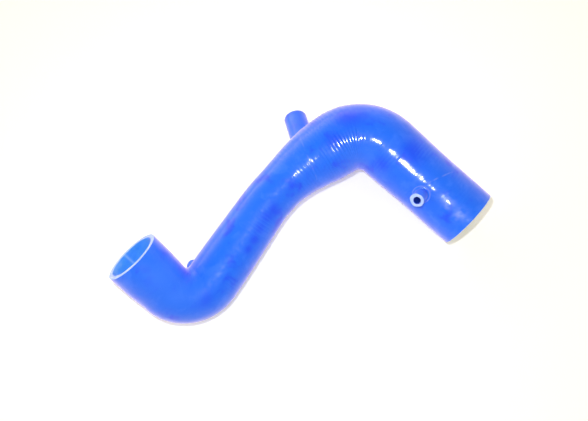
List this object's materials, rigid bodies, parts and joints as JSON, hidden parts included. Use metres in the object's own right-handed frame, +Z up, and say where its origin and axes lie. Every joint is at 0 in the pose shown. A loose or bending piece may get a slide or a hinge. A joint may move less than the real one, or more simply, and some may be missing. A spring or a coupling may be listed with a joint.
{
  "type": "silicone intake hose",
  "caption": "Bent one-piece silicone air intake hose that narrows at its waist, with a side stub and two small nipples, lying at rest.",
  "frame": {"origin": "centre of the bounding box at the surface that the hose lies on", "axes": "+Z up; +X along the hose, from the small cuff to the large cuff; +Y away from the viewer"},
  "size_m": [0.4354, 0.2628, 0.1095],
  "materials": {
    "silicone": "smooth satin blue silicone with faint tape wrap marks"
  },
  "bodies": {
    "root": {"intake_hose": "silicone"}
  },
  "joints": []
}
